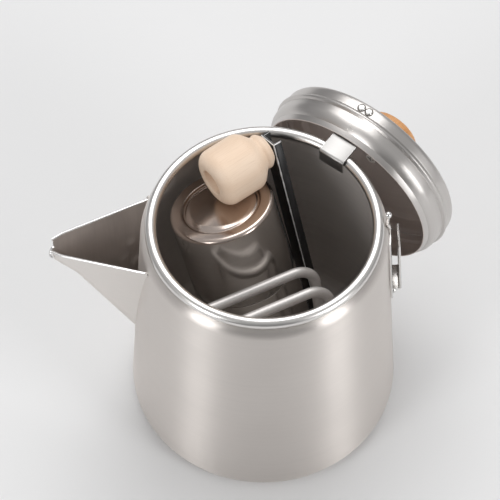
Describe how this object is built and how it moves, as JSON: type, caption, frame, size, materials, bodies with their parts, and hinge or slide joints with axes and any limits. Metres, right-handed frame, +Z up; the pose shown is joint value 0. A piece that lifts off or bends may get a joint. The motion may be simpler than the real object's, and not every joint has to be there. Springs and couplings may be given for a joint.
{
  "type": "camping coffee pot",
  "caption": "Stainless camping coffee pot with V spout, lid clipped on the rim, removable rod handle and folding hand mill stored inside",
  "frame": {"origin": "centre of the pot's base, on the surface it stands on", "axes": "+Z up along the pot's axis, spout towards -X, handle bracket towards +X, the side seen in the usual view towards -Y"},
  "size_m": [0.2107, 0.1753, 0.1696],
  "materials": {
    "brushed_steel": "fine brushed stainless steel, lengthwise round the pot",
    "bright_steel": "bright stainless steel fittings",
    "polished_rod": "electropolished stainless rod",
    "mill_steel": "brushed stainless tube",
    "black_steel": "black oxide finish with bright worn edges",
    "black_plastic": "matt black moulding",
    "ceramic": null,
    "bush_brass": "sintered bronze",
    "lid_wood": "oiled reddish wood with fine grain",
    "mill_wood": "pale oiled maple"
  },
  "bodies": {
    "root": {"pot_body": "brushed_steel", "pot_floor": "brushed_steel", "spout": "brushed_steel", "bracket_plate": "brushed_steel", "bracket_strap": "brushed_steel", "bracket_rivets": "bright_steel"},
    "lid": {"lid_shell": "brushed_steel", "lid_clip": "bright_steel", "lid_clip_rivets": "bright_steel", "lid_knob": "lid_wood", "lid_knob_washer": "bright_steel", "lid_knob_screw": "bright_steel"},
    "handle": {"handle_rod": "polished_rod", "handle_yoke": "polished_rod", "handle_tongue": "polished_rod"},
    "mill": {"mill_cup": "mill_steel", "mill_body": "mill_steel", "burr_holder": "black_plastic", "outer_burr": "ceramic", "inner_burr": "ceramic", "drive_shaft": "bright_steel", "shaft_bush_inner": "bush_brass", "shaft_bush_outer": "bush_brass", "burr_spring": "bright_steel", "mill_cap": "mill_steel", "crank_hub": "black_steel", "crank_nut": "bright_steel", "crank_pin": "bright_steel", "crank_arm": "black_steel", "knob_axle": "bright_steel", "knob_washer": "bright_steel"},
    "mill_knob": {"mill_knob": "mill_wood"},
    "grind_adjuster": {"grind_adjuster": "black_plastic"}
  },
  "joints": [
    {"name": "lid_lift", "type": "slide", "parent": "root", "child": "lid", "axis": [0, 0, 1], "range_m": [0, 0.12]},
    {"name": "handle_lift", "type": "slide", "parent": "root", "child": "handle", "axis": [-0.1135, 0.2326, 0.9659], "range_m": [0, 0.16]},
    {"name": "mill_lift_out", "type": "hinge", "parent": "root", "child": "mill", "pos_m": [0.1284, -0.0967, 0.132], "axis": [0.8517, 0.524, 0], "range_deg": [0, 110]},
    {"name": "mill_knob_spin", "type": "hinge", "parent": "mill", "child": "mill_knob", "pos_m": [-0.01025, 0.0376, 0.15382], "axis": [0.8127, 0.5803, 0.0519], "continuous": true},
    {"name": "grind_adjust", "type": "hinge", "parent": "mill", "child": "grind_adjuster", "pos_m": [-0.00872, 0.00733, 0.0831], "axis": [-0.2393, 0.2512, 0.9379], "range_deg": [0, 330]}
  ]
}
